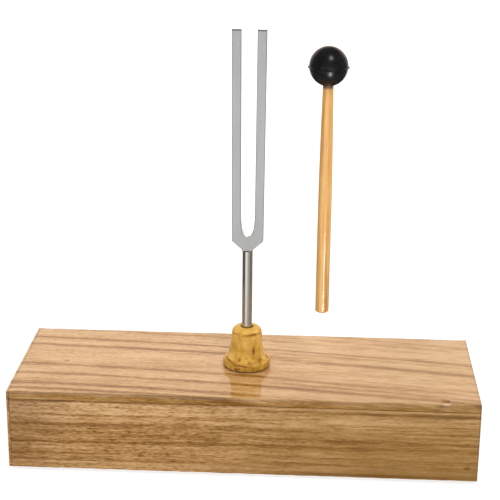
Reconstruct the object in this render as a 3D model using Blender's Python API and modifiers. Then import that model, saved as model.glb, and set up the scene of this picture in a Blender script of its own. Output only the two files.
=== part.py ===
"""Tuning fork on its resonance box, with its mallet.

Metres, +Z up. X runs along the box, Y across it, and the origin is on the floor, at the middle of
the box's footprint. The box is closed at its -X end and open at its +X end. The fork's stem stands
in a turned socket on the middle of the box's top. The mallet stands upright beside the fork.
"""

import math

import bmesh
import bpy

# Clearances
GAP = 0.0003  # glue line, or clearance between pieces that touch
WELD = 0.00001  # vertices closer than this are one vertex
SLIDE_GAP = 0.0001  # radial clearance of the stem in its hole

# Resonance box
BOX_LENGTH = 0.310
BOX_WIDTH = 0.110
BOX_HEIGHT = 0.055
BOARD = 0.0058
END_BOARD = 0.0020
BOARD_EDGE = 0.0004
STRIP_SIDE = 0.008
STRIP_SETBACK = 0.012  # from the open end
BLOCK_LENGTH = 0.060
BLOCK_WIDTH = 0.060
BLOCK_HEIGHT = 0.006
BLOCK_EDGE = 0.0010

# Feet
FOOT_RADIUS = 0.006
FOOT_HEIGHT = 0.002
FOOT_INSET = 0.014  # from the box's sides to a foot's axis

# Socket, and the screw that holds it
SOCKET_HEIGHT = 0.0285
SOCKET_HOLE_DEPTH = 0.0170
MOUTH_CHAMFER = 0.0005
BROW_CENTRE = 0.0067  # from the axis to the centre of the bell's rounded brow
BROW_RADII = (0.0033, 0.0036)
SCREW_RADIUS = 0.0020
SCREW_HEAD_RADIUS = 0.0040
SCREW_HEAD_HEIGHT = 0.0024
SCREW_HEAD_RIM = 0.0006  # straight part of the head's side, below its dome
SCREW_GRIP = 0.0087  # how far the screw reaches into the socket
WASHER_RADIUS = 0.0060
WASHER_HEIGHT = 0.0010
WASHER_CHAMFER = 0.0002

# Fork: heights are measured up from the box's underside
PLATE_THICKNESS = 0.0070
TIP_TOP = 0.2860
SLOT_BOTTOM = 0.1486
SLOT_NARROWS = 0.1600  # the slot tapers below this height
SHOULDER = 0.1450
NECK_TOP = 0.1392
NECK_BOTTOM = 0.1380
TIP_HALF = 0.0112
TIP_GAP_HALF = 0.0052
ROOT_HALF = 0.0104
ROOT_GAP_HALF = 0.0047
SLOT_RADIUS = 0.0038
NECK_HALF = 0.0037
FORK_EDGE = 0.0003

# Stem
STEM_RADIUS = 0.0035
STUD_RADIUS = 0.0020
STUD_LENGTH = 0.0070
STEM_CHAMFER = 0.0004

# Mallet: heights are measured up from the box's underside
MALLET_X = 0.0505
BALL_CENTRE = 0.2625
BALL_RADIUS = 0.01255
BALL_HALF_HEIGHT = 0.01315
RIDGE_RADIUS = 0.0135
RIDGE_HALF = 0.0007
RIDGE_DROP = 0.0006  # from the ball's centre down to its mould ridge
HANDLE_END = 0.0956
HANDLE_END_ROUND = 0.0014
HANDLE_TAPER_START = 0.1570
HANDLE_RADIUS = 0.0046
HANDLE_MIDDLE = 0.2210
HANDLE_MIDDLE_RADIUS = 0.0041
HANDLE_TIP_RADIUS = 0.0035
HANDLE_DEPTH = 0.0110  # how far the handle goes into the ball
GRIP_ABOVE_END = 0.0094  # from the handle's end up to the hand's pivot

# Facets round a turned piece
FINE = 64
MEDIUM = 48
COARSE = 32

# Levels that follow from the sizes above
BASE = FOOT_HEIGHT + GAP  # the box's underside
FAR_LEFT = -BOX_LENGTH / 2
FAR_RIGHT = BOX_LENGTH / 2
INNER_LEFT = FAR_LEFT + END_BOARD + GAP
BOX_TOP = BASE + BOX_HEIGHT
SOCKET_BOTTOM = BOX_TOP + GAP
SOCKET_TOP = BOX_TOP + SOCKET_HEIGHT
SOCKET_FLOOR = SOCKET_TOP - SOCKET_HOLE_DEPTH
BLOCK_TOP = BOX_TOP - BOARD - GAP
WASHER_TOP = BLOCK_TOP - BLOCK_HEIGHT - GAP
HEAD_TOP = WASHER_TOP - WASHER_HEIGHT - GAP
SCREW_TIP = SOCKET_BOTTOM + SCREW_GRIP
FORK_BOTTOM = BASE + NECK_BOTTOM
STEM_TOP = FORK_BOTTOM - GAP
STEM_BOTTOM = SOCKET_FLOOR + GAP

OBJECT_NAME = "tuning_fork_on_resonance_box"


def clear_scene():
    """Remove what the startup file holds."""
    for thing in list(bpy.data.objects):
        bpy.data.objects.remove(thing, do_unlink=True)


def new_collection(name):
    collection = bpy.data.collections.new(name)
    bpy.context.scene.collection.children.link(collection)
    return collection


def new_material(name, colour, roughness, metallic=0.0):
    material = bpy.data.materials.new(name)
    material.use_nodes = True
    shader = material.node_tree.nodes["Principled BSDF"]
    shader.inputs["Base Color"].default_value = (*colour, 1.0)
    shader.inputs["Roughness"].default_value = roughness
    shader.inputs["Metallic"].default_value = metallic
    return material


def make_materials():
    return {
        "top_wood": new_material("top_wood", (0.70, 0.45, 0.27), 0.30),
        "side_wood": new_material("side_wood", (0.50, 0.31, 0.14), 0.35),
        "inner_wood": new_material("inner_wood", (0.62, 0.42, 0.23), 0.70),
        "socket_wood": new_material("socket_wood", (0.62, 0.38, 0.10), 0.40),
        "handle_wood": new_material("handle_wood", (0.72, 0.38, 0.15), 0.25),
        "aluminium": new_material("aluminium", (0.60, 0.60, 0.61), 0.40, 1.0),
        "steel": new_material("steel", (0.50, 0.50, 0.50), 0.18, 1.0),
        "black_rubber": new_material("black_rubber", (0.012, 0.012, 0.013), 0.45),
        "foot_rubber": new_material("foot_rubber", (0.03, 0.03, 0.03), 0.80),
    }


def adopt(thing, name, material, collection):
    """Give an object its name, its material and its only collection."""
    thing.name = name
    thing.data.name = name
    thing.data.materials.clear()
    thing.data.materials.append(material)
    for other in list(thing.users_collection):
        other.objects.unlink(thing)
    collection.objects.link(thing)
    return thing


def add_bevel(thing, width, segments=2):
    """Round the sharp edges of an object."""
    bevel = thing.modifiers.new("edge", "BEVEL")
    bevel.width = width
    bevel.segments = segments
    bevel.limit_method = "ANGLE"
    bevel.angle_limit = math.radians(30)
    bevel.use_clamp_overlap = True


def board(name, low, high, material, collection, edge=BOARD_EDGE):
    """A rectangular piece between two opposite corners, with rounded edges."""
    centre = [(a + b) / 2 for a, b in zip(low, high)]
    bpy.ops.mesh.primitive_cube_add(size=1.0, location=centre)
    thing = bpy.context.object
    thing.scale = [b - a for a, b in zip(low, high)]
    bpy.ops.object.transform_apply(location=False, rotation=False, scale=True)
    adopt(thing, name, material, collection)
    add_bevel(thing, edge)
    return thing


def turned(name, profile, material, collection, x=0.0, steps=MEDIUM):
    """Turn a profile of (radius, height) about the vertical line through (x, 0).

    The profile starts and ends on the axis, or is closed, and runs down its outer side.
    """
    mesh = bpy.data.meshes.new(name)
    shape = bmesh.new()
    points = [shape.verts.new((radius, 0.0, height)) for radius, height in profile]
    for start, end in zip(points, points[1:]):
        shape.edges.new((start, end))
    if profile[0][0] > 0.0:
        shape.edges.new((points[-1], points[0]))
    shape.to_mesh(mesh)
    shape.free()
    thing = bpy.data.objects.new(name, mesh)
    thing.location = (x, 0.0, 0.0)
    adopt(thing, name, material, collection)
    screw = thing.modifiers.new("turn", "SCREW")
    screw.axis = "Z"
    screw.steps = steps
    screw.render_steps = steps
    screw.use_merge_vertices = True
    screw.merge_threshold = WELD
    screw.use_smooth_shade = False
    return thing


def arc(centre, radii, start, end, count):
    """Points on an ellipse from one angle in degrees to another, both ends included."""
    angles = [math.radians(start + (end - start) * i / count) for i in range(count + 1)]
    return [(centre[0] + radii[0] * math.cos(a), centre[1] + radii[1] * math.sin(a)) for a in angles]


def cut_round(thing, radius, low, high, cutters):
    """Cut a vertical round hole through an object on the Z axis."""
    bpy.ops.mesh.primitive_cylinder_add(
        vertices=COARSE, radius=radius, depth=high - low, location=(0.0, 0.0, (low + high) / 2)
    )
    cutter = bpy.context.object
    cutter.name = "cut_" + thing.name
    for other in list(cutter.users_collection):
        other.objects.unlink(cutter)
    cutters.objects.link(cutter)
    cutter.hide_render = True
    cutter.display_type = "WIRE"
    boolean = thing.modifiers.new("hole", "BOOLEAN")
    boolean.operation = "DIFFERENCE"
    boolean.solver = "EXACT"
    boolean.object = cutter


def add_pivot(name, location, collection):
    """An empty on a joint's axis, for the pieces that move about it."""
    pivot = bpy.data.objects.new(name, None)
    pivot.location = location
    pivot.empty_display_size = 0.01
    collection.objects.link(pivot)
    return pivot


def attach(pivot, *things):
    """Parent objects to a pivot, and keep them where they are."""
    bpy.context.view_layer.update()
    for thing in things:
        thing.parent = pivot
        thing.matrix_parent_inverse = pivot.matrix_world.inverted()


def build_box(materials, parts, cutters):
    """The five boards, glued at their edges. The +X end stays open."""
    half = BOX_WIDTH / 2
    floor_top = BASE + BOARD
    lid_bottom = BOX_TOP - BOARD
    side_low = floor_top + GAP
    side_high = lid_bottom - GAP
    sides = materials["side_wood"]
    lid = materials["top_wood"]
    top = board("top_board", (INNER_LEFT, -half, lid_bottom), (FAR_RIGHT, half, BOX_TOP), lid, parts)
    cut_round(top, SCREW_RADIUS + GAP, lid_bottom - BOARD, BOX_TOP + BOARD, cutters)
    board("bottom_board", (INNER_LEFT, -half, BASE), (FAR_RIGHT, half, floor_top), sides, parts)
    board("front_board", (INNER_LEFT, -half, side_low), (FAR_RIGHT, BOARD - half, side_high), sides, parts)
    board("back_board", (INNER_LEFT, half - BOARD, side_low), (FAR_RIGHT, half, side_high), sides, parts)
    board("end_board", (FAR_LEFT, -half, BASE), (FAR_LEFT + END_BOARD, half, BOX_TOP), sides, parts)


def build_glue_strips(materials, parts):
    """Square strips along the four inside corners."""
    wall = BOX_WIDTH / 2 - BOARD - GAP
    starts = {"bottom": BASE + BOARD + GAP, "top": BOX_TOP - BOARD - GAP - STRIP_SIDE}
    for side, sign in (("front", -1), ("back", 1)):
        near, far = sorted((sign * wall, sign * (wall - STRIP_SIDE)))
        for level, low in starts.items():
            board(
                f"glue_strip_{side}_{level}",
                (INNER_LEFT + GAP, near, low),
                (FAR_RIGHT - STRIP_SETBACK, far, low + STRIP_SIDE),
                materials["inner_wood"],
                parts,
            )


def build_top_block(materials, parts, cutters):
    """The block under the top board, where the socket's screw passes."""
    low = BLOCK_TOP - BLOCK_HEIGHT
    block = board(
        "top_block",
        (-BLOCK_LENGTH / 2, -BLOCK_WIDTH / 2, low),
        (BLOCK_LENGTH / 2, BLOCK_WIDTH / 2, BLOCK_TOP),
        materials["inner_wood"],
        parts,
        edge=BLOCK_EDGE,
    )
    cut_round(block, SCREW_RADIUS + GAP, low - BLOCK_HEIGHT, BLOCK_TOP + BLOCK_HEIGHT, cutters)


def build_feet(materials, parts):
    """Four round rubber feet."""
    across = BOX_WIDTH / 2 - FOOT_INSET
    along = BOX_LENGTH / 2 - FOOT_INSET
    for end, x in (("left", -along), ("right", along)):
        for side, y in (("front", -across), ("back", across)):
            bpy.ops.mesh.primitive_cylinder_add(
                vertices=COARSE, radius=FOOT_RADIUS, depth=FOOT_HEIGHT, location=(x, y, FOOT_HEIGHT / 2)
            )
            foot = adopt(bpy.context.object, f"foot_{side}_{end}", materials["foot_rubber"], parts)
            add_bevel(foot, BOARD_EDGE, segments=1)


def socket_outline():
    """The bell's outer side, from its mouth down to its foot, as (radius, height above the box)."""
    hole = STEM_RADIUS + SLIDE_GAP
    brow = SOCKET_HEIGHT - BROW_RADII[1]
    return [
        (hole, SOCKET_HEIGHT - MOUTH_CHAMFER),
        (hole + MOUTH_CHAMFER, SOCKET_HEIGHT),
        *arc((BROW_CENTRE, brow), BROW_RADII, 78, 8, 5),
        (0.0100, 0.0243),
        (0.0102, 0.0232),
        (0.0106, 0.0165),
        (0.0112, 0.0128),
        (0.0122, 0.0095),
        (0.0134, 0.0073),
        (0.0148, 0.0055),
        (0.0155, 0.0046),
        (0.0159, 0.0032),
        (0.0160, 0.0006),
        (0.0156, GAP),
    ]


def build_socket(materials, parts):
    """The turned socket: a blind hole from above for the stem, and a pilot hole from below."""
    hole = STEM_RADIUS + SLIDE_GAP
    pilot = SCREW_RADIUS + GAP
    outline = [(radius, BOX_TOP + height) for radius, height in socket_outline()]
    profile = [
        (0.0, SOCKET_FLOOR),
        (hole, SOCKET_FLOOR),
        *outline,
        (pilot, SOCKET_BOTTOM),
        (pilot, SCREW_TIP + GAP),
        (0.0, SCREW_TIP + GAP),
    ]
    turned("stem_socket", profile, materials["socket_wood"], parts, steps=FINE)


def ring(inner, outer, low, high, chamfer):
    """Closed profile of a ring, down its outer side and back up its bore."""
    return [
        (outer - chamfer, high),
        (outer, high - chamfer),
        (outer, low + chamfer),
        (outer - chamfer, low),
        (inner + chamfer, low),
        (inner, low + chamfer),
        (inner, high - chamfer),
        (inner + chamfer, high),
    ]


def build_socket_fittings(materials, parts):
    """The screw and washer that hold the socket down from inside the box."""
    hole = SCREW_RADIUS + GAP
    washer = ring(hole, WASHER_RADIUS, WASHER_TOP - WASHER_HEIGHT, WASHER_TOP, WASHER_CHAMFER)
    turned("socket_washer", washer, materials["steel"], parts, steps=COARSE)
    dome_size = (SCREW_HEAD_RADIUS, SCREW_HEAD_HEIGHT - SCREW_HEAD_RIM)
    dome = arc((0.0, HEAD_TOP - SCREW_HEAD_RIM), dome_size, 0, -90, 6)
    screw = [
        (0.0, SCREW_TIP),
        (SCREW_RADIUS, SCREW_TIP - 2 * SCREW_RADIUS),
        (SCREW_RADIUS, HEAD_TOP),
        (SCREW_HEAD_RADIUS, HEAD_TOP),
        *dome[:-1],
        (0.0, HEAD_TOP - SCREW_HEAD_HEIGHT),
    ]
    turned("socket_screw", screw, materials["steel"], parts, steps=COARSE)


def fork_outline():
    """The fork's flat outline as (x, height), counter-clockwise from the neck's lower right corner."""
    slot_end = arc((0.0, SLOT_BOTTOM + SLOT_RADIUS), (SLOT_RADIUS, SLOT_RADIUS), 0, -90, 10)
    right = [
        (NECK_HALF, NECK_BOTTOM),
        (NECK_HALF, NECK_TOP),
        (ROOT_HALF, SHOULDER),
        (TIP_HALF, TIP_TOP),
        (TIP_GAP_HALF, TIP_TOP),
        (ROOT_GAP_HALF, SLOT_NARROWS),
        *slot_end,
    ]
    left = [(-x, height) for x, height in reversed(right[:-1])]
    return [(x, BASE + height) for x, height in right + left]


def build_fork(materials, parts, cutters):
    """The fork, an outline with a bore up its neck for the stem's stud."""
    curve = bpy.data.curves.new("fork_outline", "CURVE")
    curve.dimensions = "2D"
    curve.fill_mode = "BOTH"
    curve.extrude = PLATE_THICKNESS / 2
    outline = fork_outline()
    spline = curve.splines.new("POLY")
    spline.points.add(len(outline) - 1)
    for point, (x, height) in zip(spline.points, outline):
        point.co = (x, height, 0.0, 1.0)
    spline.use_cyclic_u = True
    flat = bpy.data.objects.new("fork_outline", curve)
    flat.rotation_euler = (math.radians(90), 0.0, 0.0)
    parts.objects.link(flat)
    bpy.context.view_layer.update()
    graph = bpy.context.evaluated_depsgraph_get()
    mesh = bpy.data.meshes.new_from_object(flat.evaluated_get(graph))
    shape = bmesh.new()
    shape.from_mesh(mesh)
    bmesh.ops.remove_doubles(shape, verts=shape.verts, dist=WELD)
    bmesh.ops.dissolve_limit(shape, angle_limit=math.radians(1), verts=shape.verts, edges=shape.edges)
    shape.to_mesh(mesh)
    shape.free()
    fork = bpy.data.objects.new("fork", mesh)
    fork.matrix_world = flat.matrix_world
    adopt(fork, "fork", materials["aluminium"], parts)
    bpy.data.objects.remove(flat, do_unlink=True)
    add_bevel(fork, FORK_EDGE, segments=1)
    bore_top = FORK_BOTTOM + STUD_LENGTH + GAP
    cut_round(fork, STUD_RADIUS + GAP, FORK_BOTTOM - STUD_LENGTH, bore_top, cutters)
    return fork


def build_stem(materials, parts):
    """The round stem, with a stud for the fork's neck on its upper end."""
    stud_top = STEM_TOP + STUD_LENGTH
    profile = [
        (0.0, stud_top),
        (STUD_RADIUS - STEM_CHAMFER, stud_top),
        (STUD_RADIUS, stud_top - STEM_CHAMFER),
        (STUD_RADIUS, STEM_TOP),
        (STEM_RADIUS - STEM_CHAMFER / 2, STEM_TOP),
        (STEM_RADIUS, STEM_TOP - STEM_CHAMFER / 2),
        (STEM_RADIUS, STEM_BOTTOM + STEM_CHAMFER),
        (STEM_RADIUS - STEM_CHAMFER, STEM_BOTTOM),
        (0.0, STEM_BOTTOM),
    ]
    return turned("stem", profile, materials["steel"], parts)


def angle_at(drop):
    """Angle on the ball's outline, in degrees, of a point that far below its centre."""
    return -math.degrees(math.asin(drop / BALL_HALF_HEIGHT))


def build_mallet(materials, parts):
    """The ball, with its mould ridge and blind hole, and the handle that goes into it."""
    centre = BASE + BALL_CENTRE
    ridge = centre - RIDGE_DROP
    hole = HANDLE_TIP_RADIUS + GAP
    hole_angle = math.degrees(math.acos(hole / BALL_RADIUS))
    radii = (BALL_RADIUS, BALL_HALF_HEIGHT)
    handle_top = centre - BALL_HALF_HEIGHT + HANDLE_DEPTH
    ball = [
        (0.0, centre + BALL_HALF_HEIGHT),
        *arc((0.0, centre), radii, 90, angle_at(RIDGE_DROP - 2 * RIDGE_HALF), 12)[1:],
        (RIDGE_RADIUS, ridge + RIDGE_HALF),
        (RIDGE_RADIUS, ridge - RIDGE_HALF),
        *arc((0.0, centre), radii, angle_at(RIDGE_DROP + 2 * RIDGE_HALF), -hole_angle, 10),
        (hole, handle_top + GAP),
        (0.0, handle_top + GAP),
    ]
    head = turned("mallet_head", ball, materials["black_rubber"], parts, x=MALLET_X)
    end = BASE + HANDLE_END
    rounding = (HANDLE_END_ROUND, HANDLE_END_ROUND)
    round_centre = (HANDLE_RADIUS - HANDLE_END_ROUND, end + HANDLE_END_ROUND)
    handle_profile = [
        (0.0, handle_top),
        (HANDLE_TIP_RADIUS, handle_top),
        (HANDLE_TIP_RADIUS, centre - BALL_HALF_HEIGHT),
        (HANDLE_MIDDLE_RADIUS, BASE + HANDLE_MIDDLE),
        (HANDLE_RADIUS, BASE + HANDLE_TAPER_START),
        *arc(round_centre, rounding, 0, -90, 4),
        (0.0, end),
    ]
    wood = materials["handle_wood"]
    handle = turned("mallet_handle", handle_profile, wood, parts, x=MALLET_X, steps=COARSE)
    return head, handle


def shade_round_pieces(parts):
    """Smooth shading on every mesh, with its sharp edges kept."""
    for thing in parts.objects:
        if thing.type == "MESH" and thing.data.polygons:
            thing.data.shade_smooth()
            thing.data.set_sharp_from_angle(angle=math.radians(35))
        elif thing.type == "MESH":
            thing.modifiers["turn"].use_smooth_shade = True


def main():
    clear_scene()
    parts = new_collection(OBJECT_NAME)
    cutters = new_collection("cutters")
    materials = make_materials()
    build_box(materials, parts, cutters)
    build_glue_strips(materials, parts)
    build_top_block(materials, parts, cutters)
    build_feet(materials, parts)
    build_socket(materials, parts)
    build_socket_fittings(materials, parts)
    fork = build_fork(materials, parts, cutters)
    stem = build_stem(materials, parts)
    head, handle = build_mallet(materials, parts)
    attach(add_pivot("stem_axis", (0.0, 0.0, STEM_BOTTOM), parts), stem)
    attach(add_pivot("fork_axis", (0.0, 0.0, FORK_BOTTOM), parts), fork)
    grip = BASE + HANDLE_END + GRIP_ABOVE_END
    attach(add_pivot("mallet_grip", (MALLET_X, 0.0, grip), parts), head, handle)
    shade_round_pieces(parts)


main()
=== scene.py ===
"""Looks of a tuning fork in its socket on a wooden resonance box, with its mallet.

Everything is in metres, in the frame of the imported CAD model: X along the box, Y across it, Z up,
with the origin on the floor under the middle of the box. Boards, socket, handle and ball are made
finer here; the other pieces are the CAD's own, with new materials.
"""

import math

import bmesh
import bpy
from mathutils import Matrix, Vector, noise


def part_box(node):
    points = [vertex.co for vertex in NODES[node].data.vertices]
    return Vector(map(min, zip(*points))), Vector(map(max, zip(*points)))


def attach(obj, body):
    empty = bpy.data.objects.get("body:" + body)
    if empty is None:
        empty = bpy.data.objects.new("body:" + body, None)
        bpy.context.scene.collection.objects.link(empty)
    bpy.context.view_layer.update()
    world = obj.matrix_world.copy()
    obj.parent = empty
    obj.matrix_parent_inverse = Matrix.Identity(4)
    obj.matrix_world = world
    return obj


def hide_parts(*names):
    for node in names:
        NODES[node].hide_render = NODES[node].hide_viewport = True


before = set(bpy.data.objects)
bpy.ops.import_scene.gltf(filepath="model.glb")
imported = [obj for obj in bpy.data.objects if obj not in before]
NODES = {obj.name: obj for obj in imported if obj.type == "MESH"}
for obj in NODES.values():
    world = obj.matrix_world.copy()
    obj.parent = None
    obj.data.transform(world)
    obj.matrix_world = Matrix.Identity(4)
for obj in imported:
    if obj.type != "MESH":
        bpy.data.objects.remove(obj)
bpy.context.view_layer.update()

MM = 0.001
BOX_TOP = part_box("top_board")[1].z
BOX_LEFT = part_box("end_board")[0].x
BOX_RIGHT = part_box("top_board")[1].x
BOX_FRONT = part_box("top_board")[0].y
CHIP_X = BOX_RIGHT - 23.5 * MM


# ---------------------------------------------------------------- node graphs


class Graph:
    """The nodes of one material. An input is a plain value or another node's output."""

    def __init__(self, name):
        self.material = bpy.data.materials.new(name)
        self.material.use_nodes = True
        self.tree = self.material.node_tree
        self.tree.nodes.clear()
        self.place = self.node("TexCoord").outputs["Object"]

    def feed(self, socket, value):
        if isinstance(value, bpy.types.NodeSocket):
            self.tree.links.new(value, socket)
        elif socket.type == "RGBA" and len(value) == 3:
            socket.default_value = (*value, 1.0)
        else:
            socket.default_value = value

    def node(self, kind, inputs=None, **settings):
        node = self.tree.nodes.new("ShaderNode" + kind)
        for name, value in settings.items():
            setattr(node, name, value)
        for key, value in (inputs or {}).items():
            self.feed(node.inputs[key], value)
        return node

    def math(self, operation, *values):
        return self.node("Math", dict(enumerate(values)), operation=operation).outputs[0]

    def vector(self, operation, *values):
        return self.node("VectorMath", dict(enumerate(values)), operation=operation).outputs[0]

    def along(self, direction, place=None):
        """How far a place is along a direction."""
        node = self.node("VectorMath", {0: place or self.place, 1: direction}, operation="DOT_PRODUCT")
        return node.outputs["Value"]

    def combine(self, x, y, z):
        return self.node("CombineXYZ", {0: x, 1: y, 2: z}).outputs[0]

    def noise(self, place, scale, detail=2.0, roughness=0.5):
        """Noise from 0 to 1 with features of about 1 / scale along each axis."""
        stretched = self.vector("MULTIPLY", place, scale)
        inputs = {"Vector": stretched, "Scale": 1.0, "Detail": detail, "Roughness": roughness}
        return self.node("TexNoise", inputs).outputs[0]

    def swing(self, noise_value, size):
        """Noise of 0 to 1 turned into a number from -size to size."""
        return self.math("MULTIPLY_ADD", noise_value, 2 * size, -size)

    def limits(self, value, low, high, start=0.0, end=1.0):
        """Low to high becomes start to end, smoothly, and stays there outside."""
        inputs = {"Value": value, "From Min": low, "From Max": high, "To Min": start, "To Max": end}
        return self.node("MapRange", inputs, interpolation_type="SMOOTHSTEP").outputs[0]

    def total(self, *values):
        result = values[0]
        for value in values[1:]:
            result = self.math("ADD", result, value)
        return result

    def ramp(self, value, stops):
        """Colours, or grey levels, at places from 0 to 1."""
        node = self.node("ValToRGB", {0: value})
        elements = node.color_ramp.elements
        while len(elements) < len(stops):
            elements.new(1.0)
        for element, (place, colour) in zip(elements, stops):
            element.position = place
            element.color = (colour, colour, colour, 1.0) if isinstance(colour, float) else (*colour, 1.0)
        return node.outputs[0]

    def mix(self, share, first, second):
        node = self.node("Mix", data_type="RGBA")
        self.feed(node.inputs[0], share)
        self.feed(node.inputs[6], first)
        self.feed(node.inputs[7], second)
        return node.outputs[2]

    def spot(self, centre, radii, softness=0.5):
        """1 inside an ellipsoid, fading to 0 outside it."""
        offset = self.vector("SUBTRACT", self.place, tuple(centre))
        scaled = self.vector("DIVIDE", offset, tuple(radii))
        distance = self.node("VectorMath", {0: scaled}, operation="LENGTH").outputs["Value"]
        return self.limits(distance, 1.0 - softness, 1.0 + softness, 1.0, 0.0)

    def bump(self, height, strength, distance):
        inputs = {"Height": height, "Strength": strength, "Distance": distance}
        return self.node("Bump", inputs).outputs[0]

    def surface(self, **inputs):
        """Finish with a Principled shader. Input names have _ for a space."""
        shader = self.node("BsdfPrincipled")
        for name, value in inputs.items():
            self.feed(shader.inputs[name.replace("_", " ")], value)
        output = self.node("OutputMaterial")
        self.tree.links.new(shader.outputs[0], output.inputs["Surface"])
        return self.material


# ---------------------------------------------------------------- materials

TOP_TONES = (
    (0.0, (0.552, 0.338, 0.164)),
    (0.28, (0.435, 0.241, 0.088)),
    (0.50, (0.338, 0.165, 0.041)),
    (0.74, (0.235, 0.096, 0.013)),
    (1.0, (0.150, 0.051, 0.005)),
)
SIDE_TONES = (
    (0.0, (0.600, 0.365, 0.172)),
    (0.28, (0.470, 0.263, 0.104)),
    (0.50, (0.368, 0.193, 0.061)),
    (0.74, (0.262, 0.121, 0.031)),
    (1.0, (0.172, 0.069, 0.012)),
)
DARK_MARK = (0.110, 0.042, 0.008)
OLIVE_STAIN = (0.200, 0.118, 0.018)
BROWN_STAIN = (0.260, 0.112, 0.024)
SPLINTER = (0.640, 0.430, 0.270)

# How strong each kind of figure is. Wander and ripple are in mm, and so are the heights above the table
# between which the painted shade lower down fades out. The shade is painted into the colour:
# the top board is painted darker on its edges alone, and so is the end board below them;
# the sides are painted darker lower down.
TOP_LOOK = {
    "tone": 0.17, "late": 0.78, "strands": 0.38, "fibre": 0.46, "dashes": 0.24, "pores": 0.24,
    "mottle": 0.26, "broad": 0.36, "wander": 1.6, "ripple": 0.6,
    "shade": 0.30, "shade_low": 55.8, "shade_high": 57.2,
}
SIDE_LOOK = {
    "tone": 0.27, "late": 0.58, "strands": 0.54, "fibre": 0.46, "dashes": 0.46, "pores": 0.20,
    "mottle": 0.30, "broad": 0.24, "wander": 1.2, "ripple": 0.8,
    "shade": 0.15, "shade_low": 30.0, "shade_high": 45.0,
}

# Features per metre along the board, across its growth lines and along them.
WANDER_SCALE = (9.0, 24.0, 24.0)
RIPPLE_SCALE = (90.0, 150.0, 150.0)
STRAND_SCALE = (11.0, 560.0, 560.0)
FIBRE_SCALE = (60.0, 760.0, 760.0)
DASH_SCALE = (270.0, 1100.0, 1100.0)
MOTTLE_SCALE = (30.0, 70.0, 70.0)
BROAD_SCALE = (4.0, 70.0, 70.0)
VARNISH_FLOW_SCALE = (120.0, 210.0, 210.0)

# Distances in metres from the board's left end.
RIGHT_LINES_FROM, RIGHT_LINES_TO = 0.130, 0.215
FINE_FIGURE_FADES_FROM, FINE_FIGURE_FADES_TO = 0.10, 0.24

PORES_FROM, PORES_TO = 0.56, 0.70  # levels of the dashes between which they deepen into pores

RING_RANGE = (-130.0, 130.0)  # mm, where growth lines can be

# Growth lines: (place in mm, darkness, soft width in mm on the low side, and on the high side).
TOP_LINES_LEFT = (
    (69.0, 0.50, 2.0, 2.5),
    (55.0, 0.60, 2.5, 2.5),
    (38.5, 0.95, 2.2, 2.4),
    (25.8, 1.00, 3.0, 4.0),
    (-8.5, 0.75, 3.5, 3.0),
    (-23.5, 0.85, 3.0, 3.0),
    (-39.5, 1.00, 4.5, 4.0),
    (-48.0, 0.80, 3.0, 3.0),
)
TOP_LINES_RIGHT = (
    (69.5, 0.55, 1.5, 2.0),
    (61.5, 0.45, 1.5, 1.5),
    (53.5, 0.30, 2.0, 2.0),
    (38.5, 0.60, 2.0, 3.0),
    (33.5, 0.40, 1.5, 1.5),
    (21.5, 0.80, 3.5, 4.5),
    (-4.0, 0.30, 2.0, 2.0),
    (-10.5, 0.50, 3.0, 2.5),
    (-17.5, 0.65, 2.5, 3.0),
    (-23.5, 0.95, 4.0, 3.5),
)
SIDE_LINES_LEFT = (
    (3.0, 0.25, 1.0, 1.0),
    (6.5, 0.40, 1.0, 1.0),
    (11.0, 0.35, 1.5, 1.5),
    (20.3, 0.78, 2.2, 2.0),
    (27.0, 0.30, 2.0, 1.5),
    (33.0, 0.75, 1.8, 1.2),
    (39.4, 0.90, 1.3, 1.1),
    (49.0, 0.70, 1.2, 1.0),
)
SIDE_LINES_RIGHT = (
    (2.5, 0.80, 2.0, 1.5),
    (9.0, 0.35, 1.5, 1.5),
    (13.0, 0.40, 1.5, 1.5),
    (21.0, 0.90, 2.2, 1.8),
    (25.5, 0.55, 2.3, 2.5),
    (32.5, 0.45, 1.6, 1.2),
    (37.3, 0.50, 1.4, 1.2),
    (46.4, 1.25, 2.2, 1.6),
)


def growth_lines(graph, ring, lines):
    """How dark the late wood of these growth lines makes each place across the rings."""
    low, high = RING_RANGE
    span = high - low
    stops = [(0.0, 0.0)]
    for place, darkness, below, above in sorted(lines):
        stops.append(((place - below - low) / span, 0.0))
        stops.append(((place - low) / span, darkness))
        stops.append(((place + above - low) / span, 0.0))
    share = graph.node("MapRange", {"Value": ring, "From Min": low * MM, "From Max": high * MM}).outputs[0]
    return graph.ramp(share, stops)


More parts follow.
